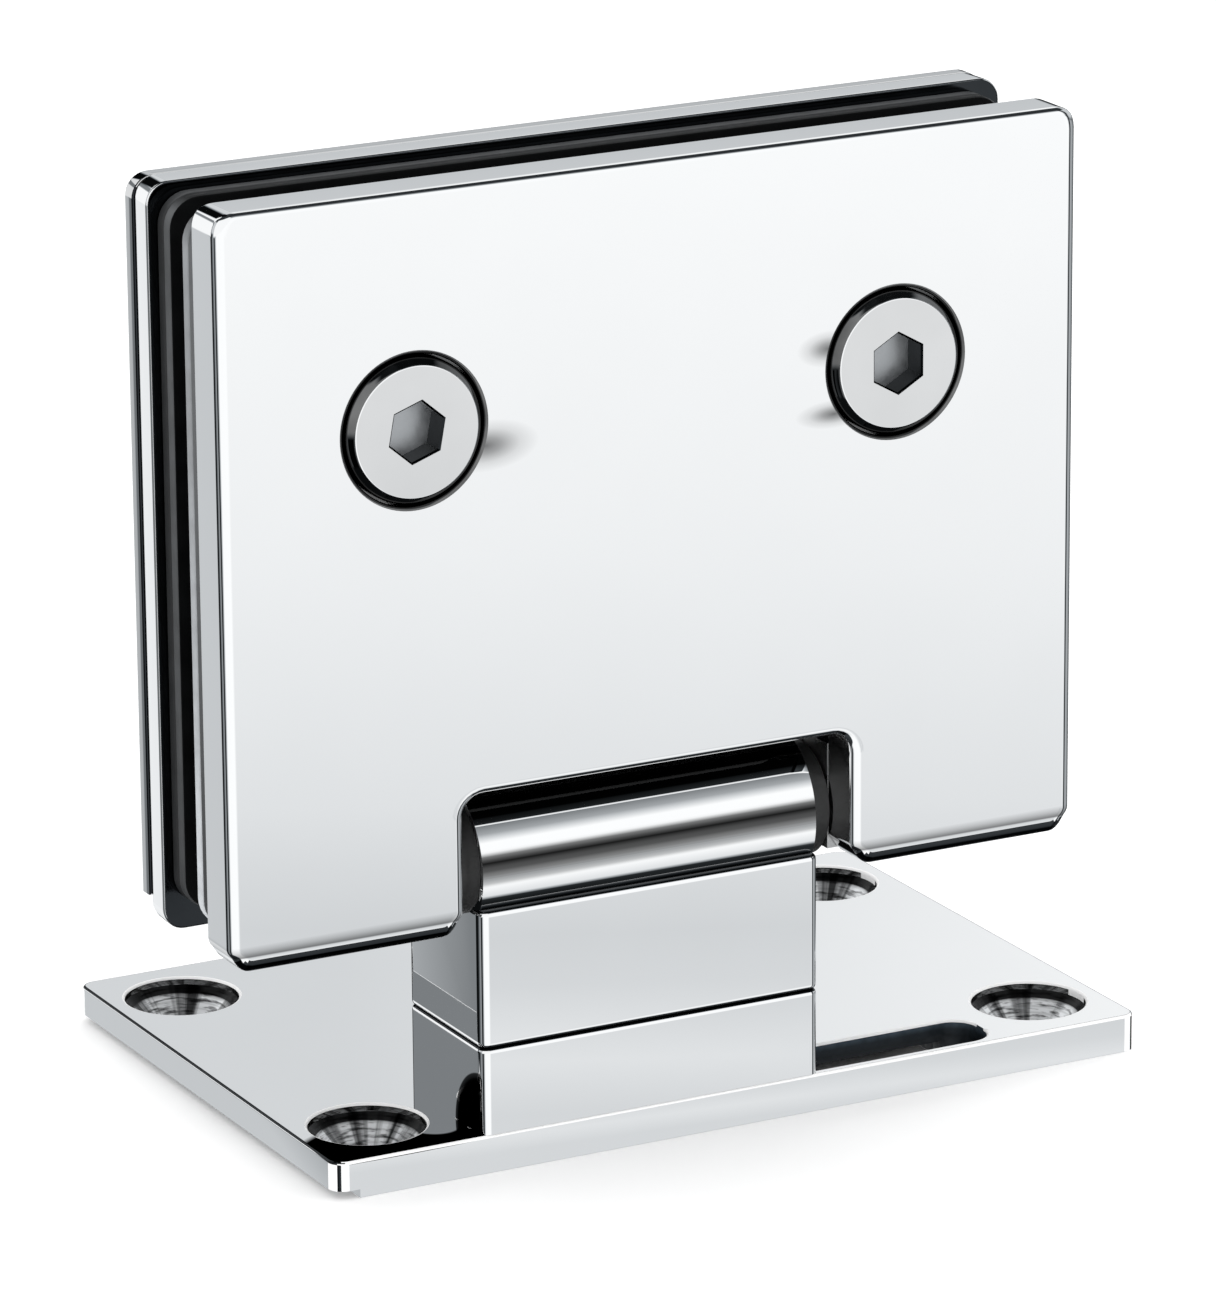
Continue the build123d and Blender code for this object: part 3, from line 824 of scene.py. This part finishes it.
# Painted highlight on the rims of the holes and the slot, and along the front edge.
paint_where(wall_plate, painted_highlight, lambda place, normal: (
    place.z > 3.5 * mm and 0.1 < normal.z < 0.98 and (
        max(abs(place.x) - rim_x, abs(place.y) - rim_y) < 0
        or normal.y < -0.3 and place.y < -rim_y
    )
))
# Painted dark reflection: a black line along the left top edge.
paint_where(wall_plate, shaded_chrome, lambda place, normal: (
    place.x < -rim_x and normal.x < -0.3 and 0.3 < normal.z < 0.9
))
# Painted highlight and dark reflection stripes on the upright corners.
paint_where(wall_plate, painted_highlight, lambda place, normal: abs(place.x) > 42 * mm and (
    1 < corner_angle(normal) < 45 or 60 < corner_angle(normal) < 89
))
paint_where(wall_plate, shaded_chrome, lambda place, normal: (
    abs(place.x) > 42 * mm and 45 < corner_angle(normal) < 60
))

# %% [markdown]
# ## The block
# The foot and the knuckle are two blocks with softly rounded edges, and the seam between them
# shows as the small groove that the two roundings make, darkened by painted shade. A dark arc of
# painted reflection is painted on the foot's left side, where the photo shows one.

# %% Foot
block_edge = {"width": 1.1 * mm, "segments": 7, "profile": 0.58}
low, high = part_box("foot_block")
foot = add_box("foot_block_polished", low, high)
bevel_where(foot, upright, **block_edge)
bevel_where(foot, at_height(high.z), 0.5 * mm, 5, 0.6)
complete(foot, chrome, "block", "polished_chrome", "foot_block")
seam_z = high.z
# Painted shade: the foot's top rounding goes dark along the seam.
paint_where(foot, shaded_chrome, lambda place, normal: (
    normal.z > 0.5 and place.z > seam_z - 1 * mm
))
# Painted dark reflection on the foot's left side, darkest by its lower front corner.
foot_dark_reflection = plated("foot_side_chrome", 0.93, 0.955)
corner = distance_from(foot_dark_reflection, tuple(low), (100 * mm, 5.9 * mm, 6.2 * mm))
shade_over(foot_dark_reflection, corner, [(0, 0.01), (0.6, 0.02), (0.9, 0.08), (0.98, 0.16), (1.0, 1)], True)
paint_where(foot, foot_dark_reflection, lambda place, normal: normal.x < -0.95)

# %% [markdown]
# ## The knuckle
# The barrel is turned and joined to the upper block, because the real one is a single piece.
# Its bore is cut last.

# %% Knuckle
low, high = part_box("knuckle")
barrel_radius = 7.8 * mm
axis = Vector(((low.x + high.x) / 2, (low.y + high.y) / 2, high.z - barrel_radius))
half_block = (high.x - low.x) / 2
block_top = axis.z - 3.3 * mm
knuckle = add_box("knuckle_polished", low, (high.x, high.y, block_top))
bevel_where(knuckle, upright, **block_edge)
bevel_where(knuckle, at_height(low.z, block_top), 0.6 * mm, 5, 0.6)
end_radius, end_length = barrel_radius - 1.0 * mm, 0.35 * mm
barrel_rings = [
    (end_radius, -half_block), (barrel_radius, -half_block + end_length),
    (barrel_radius, half_block - end_length), (end_radius, half_block),
]
bore_rings = [(5.0 * mm, -20 * mm), (5.0 * mm, 20 * mm)]
combine(knuckle, turn_piece("barrel", barrel_rings, axis, (1, 0, 0), 192), "UNION")
combine(knuckle, turn_piece("cutter", bore_rings, axis, (1, 0, 0)))
complete(knuckle, chrome, "block", "polished_chrome", "knuckle")

# %% [markdown]
# ## Painted reflection bands of the barrel
# The barrel shows dark and bright bands of painted reflection along its length. Their heights are
# shares of the radius above the axis. The seam and the shoulder under the barrel are dark with
# painted shade.

# %% Barrel bands
# Painted shade in the seam under the knuckle and in the crease under the barrel.
paint_where(knuckle, shaded_chrome, lambda place, normal: (
    normal.z < -0.5 and place.z < low.z + 1 * mm
    or normal.z > 0.6 and near(place.z, block_top, 0.3 * mm)
))
# Painted reflection: the barrel's chrome darkens in bands by height above the axis.
barrel_height = number_math(barrel_reflection_bands, "SUBTRACT", own_place(barrel_reflection_bands)[3], axis.z)
shade_over(barrel_reflection_bands, barrel_height, [
    (barrel_radius * height, share) for height, share in (
        (-0.122, 1), (-0.072, 0.63), (-0.022, 0.54), (0.027, 0.24), (0.086, 0.09), (0.125, 0.072),
        (0.182, 0.009), (0.22, 0.074), (0.258, 0.185), (0.306, 0.92), (0.33, 1), (0.63, 1),
        (0.68, 0.02), (1, 0.01),
    )
], True)
paint_where(knuckle, barrel_reflection_bands, lambda place, normal: (
    near(math.hypot(place.y - axis.y, place.z - axis.z), barrel_radius, 0.02 * mm)
    and abs(normal.x) < 0.1 and place.z > block_top
))

# %% [markdown]
# ## The plates of the leaf
# All three plates share one outline: a rectangle with a notch for the knuckle and rounded
# corners. The notch is cut first, then the corner edges are rounded, and last the edge round
# the outer face gets its bevel.

# %% Outline of a plate
notch_half = 20.75 * mm
notch_top = 38.45 * mm
plate_corner = 2.2 * mm


def leaf_plate(name, low, high, square_feet=False):
    """A plate between two corners, notched, with rounded corners seen from the front."""
    piece = add_box(name, low, high)
    notch_low = (axis.x - notch_half, low[1] - 1 * mm, low[2] - 1 * mm)
    notch_high = (axis.x + notch_half, high[1] + 1 * mm, notch_top)
    combine(piece, add_box("cutter", notch_low, notch_high))
    bevel_where(
        piece,
        lambda a, b: along_depth(a, b) and not (square_feet and a.z < low[2] + 1 * mm),
        plate_corner, 8,
    )
    return piece


print("notch in mm", round(2 * notch_half / mm, 2), "wide, up to", round(notch_top / mm, 2))

# %% [markdown]
# ## The front plate
# Its rounding is wider than it is deep. So the plate is scaled first, bevelled by an even
# 1 mm, and scaled back. Then the rounding of the foot is made taller and that of the top lower.

# %% Front plate
low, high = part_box("front_plate")
front_y, plate_foot = low.y, low.z
front_plate = leaf_plate("front_plate_polished", low, high)
bevel_where(front_plate, at_depth(high.y), 0.25 * mm, 2)
rounding = Vector((1.3, 0.8, 0.85))
resize_where(front_plate, lambda place: True, [1 / share for share in rounding], low)
bevel_where(front_plate, at_depth(low.y), 1 * mm, 8, 0.56)
resize_where(front_plate, lambda place: True, rounding, low)


def restretch(piece, edge, upward, old, new, far):
    """Give the rounding along a level edge another height, and even the change out until far."""
    ease = (far - new) / (far - old)
    stretch = new / (new - far + far * ease)
    resize_where(
        piece, lambda place: (place.z - edge) * upward < far, (1, 1, ease),
        (0, 0, edge + upward * far),
    )
    resize_where(
        piece, lambda place: (place.z - edge) * upward < new + 0.001 * mm, (1, 1, stretch),
        (0, 0, edge + upward * new),
    )


bevel_height, eased_height = 0.85 * mm, 2.6 * mm
restretch(front_plate, low.z, 1, bevel_height, 1.5 * mm, eased_height)
restretch(front_plate, high.z, -1, bevel_height, 0.6 * mm, eased_height)

# %% [markdown]
# ## Counterbores
# Two stepped holes take the heads of the clamp screws. Their rims are softened as well.

# %% Counterbores of the front plate
screw_z = plate_foot + 49.5 * mm
screw_places = {"left": axis.x - 25.3 * mm, "right": axis.x + 25.3 * mm}
sunk_radius = 7.2 * mm
sunk_rings = [
    (sunk_radius, -2 * mm), (sunk_radius, 2.8 * mm), (4.2 * mm, 2.8 * mm), (4.2 * mm, 8 * mm),
]
for x in screw_places.values():
    combine(front_plate, turn_piece("cutter", sunk_rings, (x, front_y, screw_z), (0, 1, 0)))


def from_screw(place):
    """The distance from the axis of the nearest clamp screw."""
    return min(math.hypot(place.x - x, place.z - screw_z) for x in screw_places.values())


def screw_rim(a, b):
    """True for the short edges round a counterbore."""
    short = (a - b).length < 1 * mm
    return at_depth(front_y)(a, b) and short and near(from_screw(a), sunk_radius, 0.05 * mm)


print("screw rims", bevel_where(front_plate, screw_rim, 0.38 * mm, 4))
complete(front_plate, plate_chrome, "leaf", "polished_chrome", "front_plate")

# %% [markdown]
# ## Painted reflections on the front plate
# The photo shows soft dark reflections of the screw heads beside the screws and a dark line above
# the foot's rounding. Both are painted reflections, and so is the black band on the rounding.

# %% Painted screw reflections and foot line
beside_left = screw_places["left"] + sunk_radius
beside_right = screw_places["right"] - sunk_radius
screw_reflections = (  # x, z, half width and half height
    (beside_left, screw_z - 2.4 * mm, 5.6 * mm, 2.5 * mm),
    (beside_right, screw_z + 2.2 * mm, 3.4 * mm, 1.8 * mm),
    (beside_right + 0.6 * mm, screw_z - 4.2 * mm, 4.2 * mm, 1.4 * mm),
)
# Painted reflections: soft dark patches beside the screws.
for x, z, half_width, half_height in screw_reflections:
    screw_reflection = distance_from(plate_chrome, (x, front_y, z), (half_width, 1, half_height))
    shade_over(plate_chrome, screw_reflection, [(0, 0.2), (0.3, 0.42), (0.65, 0.8), (1, 1)])
# Painted dark reflection: a dark line just above the foot's rounding.
foot_reflection_line = ((0, 1), (1.45, 1), (1.6, 0.28), (2.1, 0.7), (2.6, 1))
shade_over(plate_chrome, own_place(plate_chrome)[3], [
    (plate_foot + height * mm, share) for height, share in foot_reflection_line
])
# Painted shade with streaks of painted reflection on the rims of the counterbores.
paint_where(front_plate, painted_shade_ring, lambda place, normal: (
    from_screw(place) < 7.575 * mm and place.y > front_y + 0.002 * mm
))
# Painted dark reflection: a black band along the foot's rounding.
paint_where(front_plate, shaded_chrome, lambda place, normal: (
    place.z < plate_foot + 1.3 * mm and normal.z < -0.09 and normal.y < -0.1
))

# %% [markdown]
# ## The rear plate
# It carries the two seats that hold the ends of the pin, and a boss for each clamp screw. Its
# outer side is drawn in a little, as the photo shows.

# %% Rear plate
low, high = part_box("rear_plate")
rear_inner = high.y - 3.1 * mm
rear_plate = leaf_plate("rear_plate_polished", (low.x, rear_inner, low.z), high)
bevel_where(rear_plate, at_depth(high.y), 0.2 * mm, 3)
bevel_where(rear_plate, at_depth(rear_inner), 0.25 * mm, 3)
draft = 1 - 0.18 * mm / ((high.x - low.x) / 2)
resize_where(
    rear_plate, lambda place: place.y > high.y - 0.3 * mm, (draft, 1, 1), (axis.x, high.y, 0)
)
groove_rings = [(4.02 * mm, -40 * mm), (4.02 * mm, 40 * mm)]
for side in (-1, 1):
    seat_x = sorted((axis.x + side * notch_half, axis.x + side * 36.35 * mm))
    seat_low = (seat_x[0], axis.y, low.z + 0.5 * mm)
    seat_high = (seat_x[1], rear_inner + 0.5 * mm, 36.0 * mm)
    seat = add_box("seat", seat_low, seat_high)
    combine(seat, turn_piece("cutter", groove_rings, axis, (1, 0, 0)))
    combine(rear_plate, seat, "UNION")
boss_rings = [(5.4 * mm, 0), (5.4 * mm, 3 * mm)]
for x in screw_places.values():
    boss = turn_piece("boss", boss_rings, (x, rear_inner - 2.4 * mm, screw_z), (0, 1, 0))
    combine(rear_plate, boss, "UNION")
complete(rear_plate, chrome, "leaf", "polished_chrome", "rear_plate")
# Painted shade on the faces that look towards the front plate and along the seam with the cover.
paint_where(rear_plate, shaded_chrome, lambda place, normal: (
    normal.y < -0.9 or place.y > high.y - 0.2 * mm and 0.3 < abs(normal.x) < 0.99
))

# %% [markdown]
# ## The rear cover
# It is the last layer of the leaf. Its foot keeps square corners.

# %% Rear cover
low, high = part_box("rear_cover")
rear_cover = leaf_plate("rear_cover_polished", low, high, square_feet=True)
bevel_where(rear_cover, at_depth(high.y), 0.35 * mm, 4)
bevel_where(rear_cover, at_depth(low.y), 0.2 * mm, 2)
complete(rear_cover, cover_chrome, "leaf", "polished_chrome", "rear_cover")
# Painted shade along the seam with the rear plate.
paint_where(rear_cover, shaded_chrome, lambda place, normal: (
    place.y < low.y + 0.2 * mm and 0.3 < abs(normal.x) < 0.99
))

# %% [markdown]
# ## The clamp screws
# Each has a low round head in a counterbore, with a rounded rim and a hexagon socket.

# %% Clamp screws
socket_floor = finish("socket_floor", 1.0, (grey(0.36, 0.03), grey(0.6, 0.03)), 900.0, 0.35, 0.5)
# Painted shade: the walls of the hexagon socket are nearly black.
shaded_socket_wall = finish("shaded_socket_wall", 1.0, (grey(0.01, 0.1), grey(0.04, 0.1)), 500.0, 0.1, 0.2)
socket_turn = {"left": 19.4, "right": 30.0}  # how each socket stands in the photo
head_y = front_y - 0.6 * mm
head_rings = [
    (6.18 * mm, 0), (6.28 * mm, 0.04 * mm), (6.42 * mm, 0.2 * mm), (6.66 * mm, 0.42 * mm),
    (6.86 * mm, 0.62 * mm), (7.0 * mm, 1.0 * mm), (7.0 * mm, 3.4 * mm), (4.0 * mm, 3.4 * mm),
    (4.0 * mm, 17.8 * mm),
]
corner_share = mm / 2 / math.cos(math.radians(30))  # from a key's size to its corner
socket_rings = [
    (5.6 * corner_share, -0.2 * mm), (5.3 * corner_share, 0.05 * mm),
    (5.0 * corner_share, 0.2 * mm), (5.0 * corner_share, 2.6 * mm),
]
for side, x in screw_places.items():
    screw = turn_piece(f"clamp_screw_{side}_turned", head_rings, (x, head_y, screw_z), (0, 1, 0))
    socket = turn_piece("cutter", socket_rings, (x, head_y, screw_z), (0, 1, 0), 6)
    only(socket)
    bpy.ops.object.mode_set(mode="EDIT")
    bpy.ops.mesh.select_all(action="SELECT")
    bpy.ops.transform.rotate(
        value=math.radians(socket_turn[side] + 30), orient_axis="Y",
        center_override=(x, head_y, screw_z),
    )
    bpy.ops.object.mode_set(mode="OBJECT")
    combine(screw, socket)
    complete(screw, chrome, "leaf", "polished_chrome", f"clamp_screw_{side}")
    paint_where(screw, head_chrome, lambda place, normal: (
        normal.y < -0.99 and place.y < front_y
    ))
    # Painted shade with streaks of painted reflection on the rounded rim of the head.
    paint_where(screw, painted_shade_ring, lambda place, normal: (
        from_screw(place) > 6.25 * mm and place.y < front_y + 4 * mm
    ))
    paint_where(screw, shaded_socket_wall, lambda place, normal: (
        from_screw(place) < 3.3 * mm and abs(normal.y) < 0.9 and place.y < front_y + 2.2 * mm
    ))
    paint_where(screw, socket_floor, lambda place, normal: (
        from_screw(place) < 3 * mm and normal.y < -0.9 and place.y > front_y
    ))

# %% [markdown]
# ## The gaskets
# Two thin layers of rubber line each plate. Their corners are rounder than the plates', and
# they stop short of the plates' edges.

# %% Gaskets
edge_tones = {  # the shares at the side, the upper corner, the top and the foot
    "front_gasket_outer": (0.14, 0.09, 0.012, 0.05),
    "front_gasket_inner": (0.34, 0.2, 0.012, 0.75),
    "rear_gasket_inner": (0.11, 0.14, 0.035, 0.07),
    "rear_gasket_outer": (0.035, 0.05, 0.1, 0.03),
}
opening_half = 36.85 * mm
front_extra = 0.75 * mm  # the front gaskets show beyond their plate
sleeve_rings = [(5.6 * mm, -1 * mm), (5.6 * mm, 3 * mm)]
for node_name, (side_tone, corner_tone, top_tone, foot_tone) in edge_tones.items():
    low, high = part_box(node_name)
    if node_name.startswith("front"):
        low.x, high.x = low.x - front_extra, high.x + front_extra
    gasket = add_box(f"{node_name}_soft", low, high)
    combine(gasket, add_box(
        "cutter", (axis.x - opening_half, low.y - 1 * mm, low.z - 1 * mm),
        (axis.x + opening_half, high.y + 1 * mm, notch_top + 1 * mm),
    ))
    bevel_where(gasket, along_depth, 3.0 * mm, 8)
    bevel_where(gasket, at_depth(low.y, high.y), 0.25 * mm, 3)
    for x in screw_places.values():
        combine(gasket, turn_piece("cutter", sleeve_rings, (x, low.y, screw_z), (0, 1, 0)))
    complete(gasket, rubber, "leaf", "gasket_rubber", node_name)
    edge_shades = (grey(0.55, 0.04), grey(1.0, 0.04))
    edge = finish(f"{node_name}_edge", 0.0, edge_shades, 500.0, 0.5, 0.8, 0.2)
    shade_over(edge, own_place(edge)[3], [
        (low.z, foot_tone), (low.z + 20 * mm, (foot_tone + side_tone) / 2),
        (high.z - 20 * mm, side_tone), (high.z - 3 * mm, side_tone),
        (high.z - 1.2 * mm, corner_tone), (high.z - 0.2 * mm, top_tone),
    ])
    roughen(edge, grain(edge, 700.0), 0.7, 0.15 * mm)
    paint_where(gasket, edge, lambda place, normal: abs(normal.y) < 0.8)
